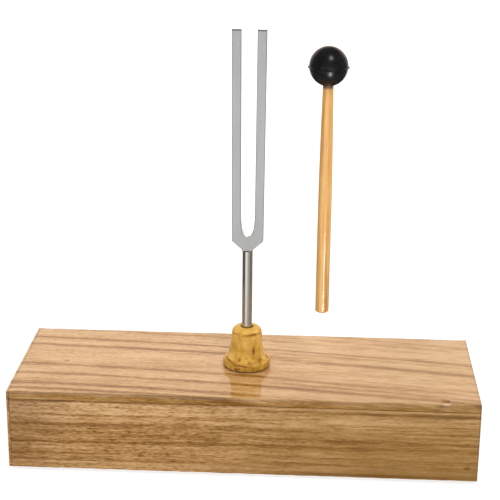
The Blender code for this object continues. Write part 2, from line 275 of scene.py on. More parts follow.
def wood(name, origin, across, drift, left_lines, right_lines, seed, look, tones, varnished=True, marks=()):
    """Straight-grained wood along X. Growth lines lie across a direction in the YZ plane, counted in mm
    from an origin, and drift with X. A board has one set of lines at its left and one at its right.
    The seed picks the place in the noise, so that no two boards have the same figure."""
    g = Graph(name)
    here = g.vector("SUBTRACT", g.place, tuple(origin))
    length = g.along((1.0, 0.0, 0.0), here)
    moved = g.vector("ADD", g.place, (seed * 0.37, seed * 0.11, seed * 0.23))
    wander = g.swing(g.noise(moved, WANDER_SCALE, 1.0), look["wander"] * MM)
    ripple = g.swing(g.noise(moved, RIPPLE_SCALE, 2.0), look["ripple"] * MM)
    bend = g.math("MULTIPLY", g.math("MULTIPLY", length, length), drift[1])
    ring = g.total(g.along((drift[0], *across), here), bend, wander, ripple)
    depth = g.along((0.0, -across[1], across[0]), here)
    fibre_place = g.combine(g.along((1.0, 0.0, 0.0), moved), ring, depth)

    to_right = g.limits(length, RIGHT_LINES_FROM, RIGHT_LINES_TO)
    late = g.mix(to_right, growth_lines(g, ring, left_lines), growth_lines(g, ring, right_lines))
    strands = g.noise(fibre_place, STRAND_SCALE, 2.0, 0.6)
    fibre = g.noise(fibre_place, FIBRE_SCALE, 2.0, 0.6)
    dashes = g.noise(fibre_place, DASH_SCALE, 1.0, 0.5)
    mottle = g.noise(moved, MOTTLE_SCALE, 2.0, 0.5)
    broad = g.noise(fibre_place, BROAD_SCALE, 2.0, 0.5)
    late_broken = g.math("MULTIPLY", late, g.math("MULTIPLY_ADD", fibre, 0.8, 0.6))
    pores = g.limits(dashes, PORES_FROM, PORES_TO)
    fades = (FINE_FIGURE_FADES_FROM, FINE_FIGURE_FADES_TO)
    dash_share = g.limits(length, *fades, look["dashes"], 0.4 * look["dashes"])
    pore_share = g.limits(length, *fades, look["pores"], 0.5 * look["pores"])
    height = g.along((0.0, 0.0, 1.0))
    tone = g.total(
        look["tone"],
        # painted shade: darker below the lower of the two heights, fading out by the upper one
        g.limits(height, look["shade_low"] * MM, look["shade_high"] * MM, look["shade"], 0.0),
        g.math("MULTIPLY", late_broken, look["late"]),
        g.swing(strands, look["strands"]),
        g.swing(fibre, look["fibre"]),
        g.math("MULTIPLY", g.math("MULTIPLY_ADD", dashes, 2.0, -1.0), dash_share),
        g.math("MULTIPLY", pores, pore_share),
        g.swing(mottle, look["mottle"]),
        g.swing(broad, look["broad"]),
    )
    colour = g.ramp(tone, tones)
    for centre, radii, mark_colour, strength in marks:
        share = g.math("MULTIPLY", g.spot(centre, radii), strength)
        colour = g.mix(share, colour, mark_colour)

    grain_bump = g.bump(g.total(fibre, dashes), 0.2, 0.05 * MM)
    if not varnished:
        roughness = g.limits(fibre, 0.3, 0.7, 0.62, 0.78)
        return g.surface(Base_Color=colour, Roughness=roughness, Specular_IOR_Level=0.3, Normal=grain_bump)
    flow = g.bump(g.noise(moved, VARNISH_FLOW_SCALE, 1.0), 0.03, 0.3 * MM)
    roughness = g.limits(fibre, 0.3, 0.7, 0.42, 0.55)
    return g.surface(
        Base_Color=colour,
        Roughness=roughness,
        Specular_IOR_Level=0.1,
        Normal=grain_bump,
        Coat_Weight=1.0,
        Coat_Roughness=0.05,
        Coat_IOR=1.6,
        Coat_Normal=flow,
    )


ALL_ALONG = 1000.0  # mm, a mark's half size along an axis that doesn't limit it


def mark(centre, half_sizes, colour, strength):
    """A stained ellipsoid, with its half sizes in mm."""
    return centre, tuple(size * MM for size in half_sizes), colour, strength


def joint_line():
    """Glue and dirt along the joint between top and front board."""
    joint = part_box("top_board")[0].z
    return mark((0.0, BOX_FRONT, joint), (ALL_ALONG, 1.6, 0.55), DARK_MARK, 0.25)


def top_marks():
    """Stains and darker edges of the top board, and the small damage round the chip in its front edge."""
    corner = (BOX_RIGHT, 0.0, BOX_TOP)
    pore = (-0.1237, -0.0026, BOX_TOP)
    edge_strip = (0.02, BOX_FRONT, BOX_TOP - 4.0 * MM)
    front_band = (0.090, BOX_FRONT + 7.0 * MM, BOX_TOP)
    dark_front_edge = (-0.095, BOX_FRONT, BOX_TOP - 0.4 * MM)
    back_edge = (BOX_RIGHT - 45 * MM, -BOX_FRONT, BOX_TOP)
    pit = (CHIP_X + 2.4 * MM, BOX_FRONT + 5.2 * MM, BOX_TOP)
    splinter = (CHIP_X + 0.5 * MM, BOX_FRONT + 1.5 * MM, BOX_TOP)
    torn = (CHIP_X - 1.0 * MM, BOX_FRONT, BOX_TOP - 1.8 * MM)
    return (
        mark(edge_strip, (300, 1.6, 7.0), OLIVE_STAIN, 0.14),
        mark(corner, (75, ALL_ALONG, ALL_ALONG), OLIVE_STAIN, 0.17),
        mark(front_band, (62, 5.5, ALL_ALONG), BROWN_STAIN, 0.34),
        mark(dark_front_edge, (80, 1.3, 0.9), DARK_MARK, 0.40),
        mark(back_edge, (45, 1.2, ALL_ALONG), DARK_MARK, 0.40),
        mark(pore, (2.0, 1.0, 2.0), DARK_MARK, 0.80),
        mark(pit, (0.8, 1.4, 2.0), DARK_MARK, 0.75),
        mark(splinter, (2.4, 1.5, 2.0), SPLINTER, 0.85),
        mark(torn, (4.2, 1.4, 0.8), DARK_MARK, 0.55),
        joint_line(),
        mark(corner, (1.0, ALL_ALONG, 40), DARK_MARK, 0.45),
    )


def side_marks():
    """Marks of the sides and the bottom: darker ends, and a browner lower right."""
    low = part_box("bottom_board")[0].z
    right_corner = (BOX_RIGHT, BOX_FRONT, BOX_TOP)
    pit = (BOX_RIGHT - 7.0 * MM, BOX_FRONT, low + 9.4 * MM)
    return (
        mark(right_corner, (1.0, ALL_ALONG, ALL_ALONG), DARK_MARK, 0.45),
        joint_line(),
        mark((0.125, BOX_FRONT, low + 3.5 * MM), (50, 20, 5), OLIVE_STAIN, 0.30),
        mark((0.095, BOX_FRONT, low + 3.0 * MM), (125, 20, 17), BROWN_STAIN, 0.36),
        mark((0.110, BOX_FRONT, low + 24.0 * MM), (110, 20, 45), OLIVE_STAIN, 0.20),
        mark((-0.153, BOX_FRONT, low + 30.0 * MM), (30, 20, 28), DARK_MARK, 0.34),
        mark((0.085, BOX_FRONT, low + 1.8 * MM), (62, 3, 1.1), DARK_MARK, 0.55),
        mark(pit, (2.4, 2, 1.0), DARK_MARK, 0.70),
    )


def make_box_woods():
    corner = (BOX_LEFT, 0.0, BOX_TOP)
    foot = (BOX_LEFT, BOX_FRONT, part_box("bottom_board")[0].z)
    top_lines = (TOP_LINES_LEFT, TOP_LINES_RIGHT)
    end_lines = (TOP_LINES_LEFT, TOP_LINES_LEFT)
    side_lines = (SIDE_LINES_LEFT, SIDE_LINES_RIGHT)
    top_kind = (TOP_LOOK, TOP_TONES)
    side_kind = (SIDE_LOOK, SIDE_TONES)
    sides = side_marks()
    return {
        "top": wood("varnished_top", corner, (1.0, 0.8), (0.0297, 0.232), *top_lines, 1.0, *top_kind,
                    marks=top_marks()),
        "front": wood("varnished_front", foot, (0.3, 1.0), (0.0, 0.0), *side_lines, 4.0, *side_kind,
                      marks=sides),
        "bottom": wood("varnished_bottom", foot, (0.9, 1.0), (-0.02, 0.0), *top_lines, 7.0, *side_kind,
                       marks=sides),
        "end": wood("varnished_end", corner, (1.0, 0.2), (0.3, 0.0), *end_lines, 9.0, *top_kind),
        "bare": wood("bare_inside", corner, (0.8, 0.6), (0.03, 0.0), *top_lines, 12.0, *side_kind,
                     varnished=False),
    }


ALUMINIUM_TONES = ((0.0, (0.54, 0.54, 0.54)), (0.5, (0.67, 0.67, 0.67)), (1.0, (0.79, 0.79, 0.79)))
TIP_BAND_DARK = (0.03, 0.03, 0.03)
STEEL_TONES = ((0.0, (0.48, 0.47, 0.45)), (0.5, (0.64, 0.635, 0.62)), (1.0, (0.74, 0.74, 0.73)))
HANDLE_TONES = (
    (0.0, (0.60, 0.345, 0.115)),
    (0.5, (0.49, 0.245, 0.062)),
    (0.8, (0.35, 0.155, 0.035)),
    (1.0, (0.23, 0.085, 0.018)),
)
# painted contact shadow, darkening the stick just under the mallet's ball
PAINTED_CONTACT_SHADOW = (0.045, 0.020, 0.008)
SOCKET_TONES = (
    (0.0, (0.76, 0.46, 0.135)),
    (0.40, (0.62, 0.350, 0.055)),
    (0.72, (0.49, 0.252, 0.034)),
    (1.0, (0.31, 0.140, 0.014)),
)
# painted shadow round the mouth of the stem's hole
PAINTED_MOUTH_SHADOW = (0.10, 0.045, 0.012)
FLAW_HALO = (0.46, 0.205, 0.018)
FLAW_DARK = (0.19, 0.072, 0.007)


def make_aluminium():
    """Drawn and lightly brushed bar, streaked along the prongs, with a dark band just under their tips."""
    g = Graph("drawn_aluminium")
    streaks = g.noise(g.place, (2600.0, 2600.0, 26.0), 3.0, 0.6)
    clouds = g.noise(g.place, (60.0, 60.0, 22.0), 3.0, 0.6)
    shade = g.total(0.5, g.swing(streaks, 0.35), g.swing(clouds, 0.35))
    colour = g.ramp(shade, ALUMINIUM_TONES)
    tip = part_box("fork")[1].z
    height = g.along((0.0, 0.0, 1.0))
    tip_band = g.math(
        "MULTIPLY",
        g.limits(height, tip - 1.5 * MM, tip - 0.8 * MM, 0.0, 0.62),
        g.limits(height, tip - 0.3 * MM, tip - 0.1 * MM, 1.0, 0.0),
    )
    colour = g.mix(tip_band, colour, TIP_BAND_DARK)
    roughness = g.limits(g.total(streaks, clouds), 0.7, 1.3, 0.27, 0.37)
    return g.surface(
        Base_Color=colour,
        Metallic=1.0,
        Roughness=roughness,
        Normal=g.bump(streaks, 0.12, 0.02 * MM),
    )


def make_steel():
    """Ground steel rod, with fine rings round it and a few darker ones."""
    g = Graph("ground_steel")
    rings = g.noise(g.place, (40.0, 40.0, 5200.0), 3.0, 0.7)
    clouds = g.noise(g.place, (150.0, 150.0, 60.0), 2.0)
    shade = g.total(0.5, g.swing(rings, 0.3), g.swing(clouds, 0.3))
    colour = g.ramp(shade, STEEL_TONES)
    return g.surface(
        Base_Color=colour,
        Metallic=1.0,
        Roughness=g.limits(clouds, 0.3, 0.7, 0.12, 0.22),
        Normal=g.bump(rings, 0.06, 0.01 * MM),
    )


def make_rubber(name, colour, roughness, grain):
    """Moulded rubber with a faint bloom and a fine uneven skin."""
    g = Graph(name)
    clouds = g.noise(g.place, (190.0, 190.0, 190.0), 3.0, 0.6)
    skin = g.noise(g.place, (1500.0, 1500.0, 1500.0), 2.0)
    bloom = tuple(1.5 * channel + 0.001 for channel in colour)
    return g.surface(
        Base_Color=g.mix(g.limits(clouds, 0.35, 0.75), colour, bloom),
        Roughness=g.limits(clouds, 0.3, 0.7, roughness - 0.05, roughness + 0.07),
        Specular_IOR_Level=0.28,
        Normal=g.bump(skin, grain, 0.03 * MM),
    )


def make_handle_wood():
    """Varnished round stick, its fibres along Z, with a painted contact shadow where it enters the ball."""
    g = Graph("varnished_handle")
    bend = g.swing(g.noise(g.place, (60.0, 60.0, 14.0), 1.0), 0.8 * MM)
    swayed = g.vector("ADD", g.place, g.combine(bend, bend, 0.0))
    fibre = g.noise(swayed, (1500.0, 1500.0, 40.0), 3.0, 0.6)
    bands = g.noise(swayed, (420.0, 420.0, 7.0), 2.0, 0.5)
    patches = g.noise(g.place, (90.0, 90.0, 45.0), 2.0)
    tone = g.total(0.42, g.swing(fibre, 0.70), g.swing(bands, 0.90), g.swing(patches, 0.30))
    colour = g.ramp(tone, HANDLE_TONES)
    under_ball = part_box("mallet_head")[0].z
    # painted contact shadow, growing over the last 2 mm under the ball
    contact_shadow = g.limits(g.along((0.0, 0.0, 1.0)), under_ball - 2.2 * MM, under_ball - 0.2 * MM, 0.0, 0.85)
    colour = g.mix(contact_shadow, colour, PAINTED_CONTACT_SHADOW)
    return g.surface(
        Base_Color=colour,
        Roughness=g.limits(fibre, 0.3, 0.7, 0.40, 0.52),
        Specular_IOR_Level=0.25,
        Normal=g.bump(fibre, 0.15, 0.03 * MM),
        Coat_Weight=1.0,
        Coat_Roughness=0.07,
        Coat_IOR=1.5,
        Coat_Normal=g.bump(g.noise(g.place, (220.0, 220.0, 45.0), 1.0), 0.08, 0.3 * MM),
    )


def make_socket_wood(flaws):
    """Close-grained wood under a thin varnish, with brown flaws where the turning tore it.
    A painted shadow darkens the mouth of the stem's hole, and painted shade the foot.
    """
    g = Graph("varnished_socket")
    turning = g.noise(g.place, (30.0, 30.0, 900.0), 2.0, 0.6)
    fibre = g.noise(g.place, (420.0, 420.0, 130.0), 3.0, 0.62)
    patches = g.noise(g.place, (120.0, 120.0, 110.0), 3.0, 0.6)
    height = g.along((0.0, 0.0, 1.0))
    # painted shade: the foot a little darker than the body above it
    painted_foot_shade = g.limits(height, BOX_TOP + 5 * MM, BOX_TOP + 10 * MM, 0.05, 0.0)
    tone = g.total(0.37, painted_foot_shade, g.swing(turning, 0.24), g.swing(fibre, 0.52), g.swing(patches, 1.05))
    colour = g.ramp(tone, SOCKET_TONES)
    # painted shadow: darker round the mouth of the stem's hole
    mouth = g.spot((0.0, 0.0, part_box("stem_socket")[1].z), (4.5 * MM, 4.5 * MM, 2.5 * MM), 0.15)
    colour = g.mix(g.math("MULTIPLY", mouth, 0.75), colour, PAINTED_MOUTH_SHADOW)
    for flaw in flaws:
        halo = g.math("MULTIPLY", g.spot(flaw["centre"], 2.0 * flaw["radii"], 0.9), 0.55 * flaw["stain"])
        colour = g.mix(halo, colour, FLAW_HALO)
        share = g.math("MULTIPLY", g.spot(flaw["centre"], flaw["radii"], 0.7), flaw["stain"])
        colour = g.mix(share, colour, FLAW_DARK)
    return g.surface(
        Base_Color=colour,
        Roughness=g.limits(fibre, 0.3, 0.7, 0.42, 0.58),
        Specular_IOR_Level=0.12,
        Normal=g.bump(g.total(fibre, turning), 0.35, 0.06 * MM),
        Coat_Weight=0.22,
        Coat_Roughness=0.28,
        Coat_IOR=1.5,
        Coat_Normal=g.bump(patches, 0.2, 0.5 * MM),
    )


# ---------------------------------------------------------------- meshes

SAME_POINT = 0.01 * MM
SHARP_ANGLE = math.radians(40)


def add_piece(name, shape, materials, body, slot, *nodes):
    """Put a finished bmesh into the scene, in place of the CAD nodes that it stands for."""
    mesh = bpy.data.meshes.new(name)
    bmesh.ops.recalc_face_normals(shape, faces=shape.faces)
    shape.to_mesh(mesh)
    shape.free()
    for material in materials:
        mesh.materials.append(material)
    mesh.shade_smooth()
    mesh.set_sharp_from_angle(angle=SHARP_ANGLE)
    piece = bpy.data.objects.new(name, mesh)
    bpy.context.scene.collection.objects.link(piece)
    piece.modifiers.new("shade", "WEIGHTED_NORMAL").keep_sharp = True
    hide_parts(*nodes)
    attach(piece, body)
    return piece


def repaint(node, material):
    """Give a CAD node its material, on a mesh whose split corners are joined again."""
    thing = NODES[node]
    thing.data.materials.clear()
    thing.data.materials.append(material)
    thing.modifiers.new("join", "WELD").merge_threshold = SAME_POINT
    thing.modifiers.new("shade", "WEIGHTED_NORMAL").keep_sharp = True


def between(t, before, start, end, after):
    """Catmull-Rom: from start to end as t goes from 0 to 1, bent by the numbers before and after them."""
    linear = 2 * start + (end - before) * t
    square = (2 * before - 5 * start + 4 * end - after) * t * t
    cube = (3 * start - before - 3 * end + after) * t ** 3
    return 0.5 * (linear + square + cube)


def spline(points, per_span):
    """A smooth line through points, with its ends kept."""
    padded = [points[0], *points, points[-1]]
    result = []
    for span in zip(padded, padded[1:], padded[2:], padded[3:]):
        for i in range(per_span):
            result.append(tuple(between(i / per_span, *numbers) for numbers in zip(*span)))
    result.append(tuple(points[-1]))
    return result


def arc(centre, radii, start, end, count):
    """Points on an ellipse from one angle in degrees to another, both ends included."""
    angles = [math.radians(start + (end - start) * i / count) for i in range(count + 1)]
    return [(centre[0] + radii[0] * math.cos(a), centre[1] + radii[1] * math.sin(a)) for a in angles]


def turn(profile, steps, axis_x=0.0, reshape=None):
    """Turn a profile of (radius, height) that starts and ends on the axis. Reshape may move each point."""
    shape = bmesh.new()
    rings = []
    for radius, height in profile:
        count = steps if radius > 0.0 else 1
        ring = []
        for i in range(count):
            angle = 2 * math.pi * i / steps
            point = Vector((radius * math.sin(angle), -radius * math.cos(angle), height))
            if reshape:
                point = reshape(point)
            ring.append(shape.verts.new((point.x + axis_x, point.y, point.z)))
        rings.append(ring)
    for upper, lower in zip(rings, rings[1:]):
        for i in range(steps):
            j = (i + 1) % steps
            places = ((upper, i), (upper, j), (lower, j), (lower, i))
            unique = list(dict.fromkeys(ring[k % len(ring)] for ring, k in places))
            if len(unique) > 2:
                shape.faces.new(unique)
    return shape


# ---------------------------------------------------------------- boards

EDGE_ZONE = 0.9 * MM  # how far from an edge the wear reaches
WEAR = 0.16 * MM
WEAR_RATE = 160  # changes of the wear per metre
CHIP_HALF = 3.6 * MM
CHIP_DEPTH = 1.0 * MM
CHIP_RATE = 1500
SLICE = 3.0 * MM
FINE_SLICE = 0.5 * MM
CUT_TOLERANCE = 1e-7
GLUE_LINE = 0.28 * MM  # how far a board reaches into the gap at a joint
JOINT_GROOVE = 0.10 * MM  # how much of the rounded edge is left at a joint
ON_PLANE = 0.05 * MM


def close_joints(shape, low, high, joints):
    """Let a board reach into the gap at each joint, and fill most of the rounding of its edges there.
    A joint is (axis, sign, reach): (2, 1, 0.0) is the board's upper side, flush with its neighbour.
    Returns the new low and high corners."""
    new_low, new_high = low.copy(), high.copy()
    for axis, sign, reach in joints:
        plane = high[axis] if sign > 0 else low[axis]
        for vertex in shape.verts:
            if abs(vertex.co[axis] - plane) > ON_PLANE:
                continue
            vertex.co[axis] += sign * reach
            for other in range(3):
                for side, inwards in ((low[other], 1), (high[other], -1)):
                    if other != axis and abs(vertex.co[other] - side) < EDGE_ZONE:
                        vertex.co[other] = side + inwards * JOINT_GROOVE
        if sign > 0:
            new_high[axis] += reach
        else:
            new_low[axis] -= reach
    return new_low, new_high


def edge_wear(point, low, high, seed, chipped, joints):
    """How far a point near an outer edge moves inwards, along each axis."""
    move = Vector((0.0, 0.0, 0.0))
    for axis, sign, _ in joints:
        plane = high[axis] if sign > 0 else low[axis]
        if abs(point[axis] - plane) < EDGE_ZONE:
            return move
    near = [min(point[i] - low[i], high[i] - point[i]) < EDGE_ZONE for i in range(3)]
    if sum(near) < 2:
        return move
    place = Vector((point.x * WEAR_RATE + seed, point.y * WEAR_RATE, point.z * WEAR_RATE))
    amount = WEAR * (0.5 + noise.noise(place))
    on_front_top = point.y - low.y < EDGE_ZONE and high.z - point.z < EDGE_ZONE
    if chipped and on_front_top:
        nearness = max(0.0, 1.0 - abs(point.x - CHIP_X) / CHIP_HALF)
        rough = 0.75 + 0.5 * noise.noise(Vector((point.x * CHIP_RATE, 0.0, seed)))
        amount += CHIP_DEPTH * nearness ** 0.5 * rough
    for i in range(3):
        if near[i]:
            inwards = 1.0 if point[i] - low[i] < high[i] - point[i] else -1.0
            move[i] = inwards * max(0.0, amount)
    return move


def slice_places(low, high, chipped):
    """Where a board is sliced along X, closer together at the chip."""
    places = [low.x + SLICE * i for i in range(1, int((high.x - low.x) / SLICE))]
    if chipped:
        count = int(2 * CHIP_HALF / FINE_SLICE) + 2
        places += [CHIP_X - CHIP_HALF + FINE_SLICE * i for i in range(count)]
    return places


def worn_board(node, outside, woods, seed, joints, chipped=False):
    """A CAD board with softly worn edges, varnished all over but for the face inside the box."""
    low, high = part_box(node)
    shape = bmesh.new()
    shape.from_mesh(NODES[node].data)
    bmesh.ops.remove_doubles(shape, verts=shape.verts, dist=SAME_POINT)
    low, high = close_joints(shape, low, high, joints)
    for x in slice_places(low, high, chipped):
        geometry = [*shape.verts, *shape.edges, *shape.faces]
        cut = {"plane_co": (x, 0, 0), "plane_no": (1, 0, 0)}
        bmesh.ops.bisect_plane(shape, geom=geometry, dist=CUT_TOLERANCE, **cut)
    for vertex in shape.verts:
        vertex.co += edge_wear(vertex.co, low, high, seed, chipped, joints)
    shape.normal_update()
    for face in shape.faces:
        facing_in = face.normal.dot(Vector(outside)) < -0.7
        face.material_index = 1 if facing_in else 0
    return add_piece("worn_" + node, shape, woods, "resonance_box", "side_wood", node)


def build_boards(woods):
    bare = woods["bare"]
    to_end, up, down = (0, -1, GLUE_LINE), (2, 1, GLUE_LINE), (2, -1, GLUE_LINE)
    up_flush = (2, 1, 0.0)
    top = worn_board("top_board", (0, 0, 1), (woods["top"], bare), 1.0, [to_end], chipped=True)
    worn_board("front_board", (0, -1, 0), (woods["front"], bare), 2.0, [to_end, up, down])
    worn_board("back_board", (0, 1, 0), (woods["front"], bare), 3.0, [to_end, up, down])
    worn_board("bottom_board", (0, 0, -1), (woods["bottom"], bare), 4.0, [to_end, up_flush])
    worn_board("end_board", (-1, 0, 0), (woods["end"], bare), 5.0, [])


# ---------------------------------------------------------------- socket

SOCKET_STEPS = 192
SOCKET_UNEVEN = 0.18 * MM
SOCKET_ROUGH = 0.06 * MM
STEM_CLEARANCE = 0.1 * MM
GAP = 0.3 * MM  # between pieces that touch or are screwed together
PILOT_RADIUS = 2.3 * MM


def socket_profile():
    """The bell, from the floor of its hole up over the mouth and down to its underside."""
    low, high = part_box("stem_socket")
    screw_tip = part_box("socket_screw")[1].z
    stem_low, stem_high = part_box("stem")
    hole = stem_high.x + STEM_CLEARANCE
    floor = stem_low.z - GAP
    foot = high.x
    top = high.z
    side = [
        (hole, top - 0.8 * MM),
        (hole + 0.5 * MM, top - 0.15 * MM),
        (5.3 * MM, top),
        (7.2 * MM, top - 0.25 * MM),
        (8.8 * MM, top - 1.1 * MM),
        (9.7 * MM, top - 2.5 * MM),
        (10.05 * MM, top - 3.9 * MM),
        (9.95 * MM, top - 4.35 * MM),
        (10.25 * MM, top - 5.0 * MM),
        (10.50 * MM, top - 8.5 * MM),
        (10.72 * MM, top - 12.0 * MM),
        (11.25 * MM, top - 15.7 * MM),
        (12.20 * MM, top - 19.0 * MM),
        (13.4 * MM, top - 21.1 * MM),
        (14.25 * MM, top - 21.95 * MM),
        (14.45 * MM, top - 22.45 * MM),
        (15.0 * MM, top - 22.6 * MM),
        (15.6 * MM, top - 23.2 * MM),
        (foot - 0.05 * MM, top - 24.6 * MM),
        (foot, top - 26.9 * MM),
        (foot - 0.4 * MM, top - 27.5 * MM),
        (foot - 1.3 * MM, low.z),
    ]
    inside = [(0.0, floor), (hole, floor)]
    below = [(PILOT_RADIUS, low.z), (PILOT_RADIUS, screw_tip + GAP), (0.0, screw_tip + GAP)]
    return inside + spline(side, 5) + below


def radius_at(profile, height):
    """The outermost radius of a profile at a height."""
    found = 0.0
    for (r0, z0), (r1, z1) in zip(profile, profile[1:]):
        if min(z0, z1) <= height <= max(z0, z1) and z0 != z1:
            found = max(found, r0 + (r1 - r0) * (height - z0) / (z1 - z0))
    return found


def socket_flaws(profile):
    """Pits, a gouge and a chip: azimuth from the front in degrees, height above the box, sizes in mm."""
    told = [
        # azimuth, height, half width, half height, depth, stain
        (28.5, 14.0, 0.9, 2.6, 0.35, 0.95),
        (-20.0, 8.1, 0.9, 1.3, 0.30, 0.80),
        (46.0, 7.6, 1.2, 1.2, 0.35, 0.85),
        (86.0, 6.8, 1.2, 1.5, 0.40, 0.90),
        (9.0, 25.0, 1.3, 0.45, 0.25, 0.90),
        (21.0, 25.1, 1.5, 0.6, 0.30, 1.00),
        (35.0, 25.3, 1.6, 0.6, 0.30, 1.00),
        (62.0, 24.9, 1.8, 0.4, 0.20, 0.60),
        (-48.0, 24.9, 2.2, 0.4, 0.20, 0.60),
        (-2.0, 24.9, 1.6, 0.35, 0.15, 0.45),
        (-70.0, 6.6, 2.4, 0.40, 0.30, 0.90),
        (-52.0, 6.2, 3.0, 0.45, 0.35, 0.85),
        (-36.0, 5.5, 2.2, 0.55, 0.45, 0.80),
        (-26.0, 4.7, 2.2, 0.75, 0.60, 0.90),
        (-14.0, 5.0, 2.6, 0.65, 0.55, 0.80),
        (-2.0, 4.6, 2.0, 0.55, 0.35, 0.65),
        (-24.0, 1.9, 1.0, 1.3, 0.60, 0.95),
        (-16.0, 2.4, 0.8, 1.0, 0.40, 0.70),
    ]
    flaws = []
    for azimuth, height, half_width, half_height, depth, stain in told:
        angle = math.radians(azimuth)
        level = BOX_TOP + height * MM
        radius = radius_at(profile, level)
        flaws.append(
            {
                "centre": Vector((radius * math.sin(angle), -radius * math.cos(angle), level)),
                "radii": Vector((half_width * MM, half_width * MM, half_height * MM)),
                "depth": depth * MM,
                "stain": stain,
            }
        )
    return flaws


def build_socket():
    profile = socket_profile()
    flaws = socket_flaws(profile)
    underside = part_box("stem_socket")[0].z
    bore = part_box("stem")[1].x + GAP

    def reshape(point):
        """Slightly uneven turning, with the flaws pressed in. The bore and the underside stay true."""
        radius = math.hypot(point.x, point.y)
        if radius < bore or point.z <= underside:
            return point
        outwards = Vector((point.x, point.y, 0.0)).normalized()
        sink = SOCKET_UNEVEN * noise.noise(point * 120) + SOCKET_ROUGH * noise.noise(point * 500)
        for flaw in flaws:
            offset = point - flaw["centre"]
            distance = Vector((offset[i] / flaw["radii"][i] for i in range(3))).length
            sink += flaw["depth"] * max(0.0, 1.0 - (distance / 1.3) ** 2)
        return point - outwards * sink

    shape = turn(profile, SOCKET_STEPS, reshape=reshape)
    wood_of_socket = [make_socket_wood(flaws)]
    add_piece("turned_socket", shape, wood_of_socket, "resonance_box", "socket_wood", "stem_socket")


# ---------------------------------------------------------------- mallet

BALL_STEPS = 128
HANDLE_STEPS = 64
RIDGE_HALF = 0.85 * MM
RIDGE_TIP = 0.12 * MM
RIDGE_DROP = 0.6 * MM  # the mould's seam is a little below the middle
RIDGE_HEIGHT = 0.95 * MM
BALL_HOLE = 3.8 * MM


def build_ball(rubber):
    """The rubber ball, with the thin flash of its mould round the middle and a blind hole below."""
    low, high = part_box("mallet_head")
    axis_x = (low.x + high.x) / 2
    centre = (low.z + high.z) / 2
    ridge = (high.x - low.x) / 2
    radius = ridge - RIDGE_HEIGHT
    half_height = high.z - centre
    handle_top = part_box("mallet_handle")[1].z
    ridge_level = centre - RIDGE_DROP
    start = math.degrees(math.asin((RIDGE_HALF - RIDGE_DROP) / half_height))
    restart = math.degrees(math.asin((RIDGE_HALF + RIDGE_DROP) / half_height))
    lip = math.degrees(math.acos((BALL_HOLE + 0.3 * MM) / radius))
    upper = arc((0.0, centre), (radius, half_height), 90, start, 40)
    lower = arc((0.0, centre), (radius, half_height), -restart, -lip, 34)
    flash = [
        (radius + 0.30 * MM, ridge_level + 0.50 * MM),
        (ridge - 0.06 * MM, ridge_level + RIDGE_TIP),
        (ridge, ridge_level),
        (ridge - 0.06 * MM, ridge_level - RIDGE_TIP),
        (radius + 0.30 * MM, ridge_level - 0.50 * MM),
    ]
    hole_low = lower[-1][1] + 0.35 * MM
    hole_top = handle_top + GAP
    hole = [(BALL_HOLE, hole_low), (BALL_HOLE, hole_top), (0.0, hole_top)]
    shape = turn([(0.0, high.z), *upper[1:], *flash, *lower, *hole], BALL_STEPS, axis_x)
    return add_piece("moulded_ball", shape, [rubber], "mallet", "black_rubber", "mallet_head")


def build_handle():
    """The stick: thickest at the grip, tapering into the ball, its lower end rounded off."""
    low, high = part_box("mallet_handle")
    ball_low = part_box("mallet_head")[0].z
    axis_x = (low.x + high.x) / 2
    grip = (high.x - low.x) / 2
    middle = 4.1 * MM
    tip = 3.5 * MM
    side = [
        (grip, low.z + 1.9 * MM),
        (grip, low.z + 30 * MM),
        (grip, low.z + 61 * MM),
        (grip - 0.15 * MM, low.z + 92 * MM),
        (middle, low.z + 125 * MM),
        (tip + 0.25 * MM, low.z + 142 * MM),
        (tip, ball_low),
        (tip, high.z - 0.4 * MM),
    ]
    end = arc((grip - 1.5 * MM, low.z + 1.4 * MM), (1.5 * MM, 1.4 * MM), -90, 0, 8)
    profile = [(0.0, low.z), *end, *spline(side, 10)[1:], (tip - 0.4 * MM, high.z), (0.0, high.z)]

    def reshape(point):
        """A hand-turned stick isn't quite round or straight. It stays true where the ball grips it."""
        if point.z > ball_low - 2 * MM or math.hypot(point.x, point.y) < 1 * MM:
            return point
        shrink = 1.0 - 0.012 * (0.5 + noise.noise(Vector((point.x * 60, point.y * 60, point.z * 22))))
        return Vector((point.x * shrink, point.y * shrink, point.z))

    shape = turn(list(reversed(profile)), HANDLE_STEPS, axis_x, reshape)
    return add_piece("turned_handle", shape, [make_handle_wood()], "mallet", "handle_wood", "mallet_handle")


# ---------------------------------------------------------------- studio

FLOOR_HALF = 8.0
ROOM_RADIUS = 6.0
CARD_HEIGHT = 0.012


def add_stage(name, shape, material):
    """Put a finished bmesh into the scene as part of the studio."""
    mesh = bpy.data.meshes.new(name)
    shape.to_mesh(mesh)
    shape.free()
    mesh.materials.append(material)
    thing = bpy.data.objects.new(name, mesh)
    bpy.context.scene.collection.objects.link(thing)
    return thing


def make_floor():
    """A white table that glows more the further it is from the object, like a lit sweep."""
    g = Graph("white_table")
    reach = g.node("VectorMath", {0: g.place}, operation="LENGTH").outputs["Value"]
    grain = g.noise(g.place, (40.0, 40.0, 40.0), 3.0)
    colour = g.mix(grain, (0.27, 0.27, 0.27), (0.30, 0.30, 0.30))
    glow = g.limits(reach, 0.15, 0.90, 0.79, 0.95)
    material = g.surface(
        Base_Color=colour,
        Roughness=g.limits(grain, 0.0, 1.0, 0.7, 0.8),
        Specular_IOR_Level=0.1,
        Emission_Color=(1.0, 1.0, 1.0),
        Emission_Strength=glow,
    )
    shape = bmesh.new()
    bmesh.ops.create_grid(shape, x_segments=1, y_segments=1, size=FLOOR_HALF)
    floor = add_stage("studio_floor", shape, material)
    floor.visible_glossy = False


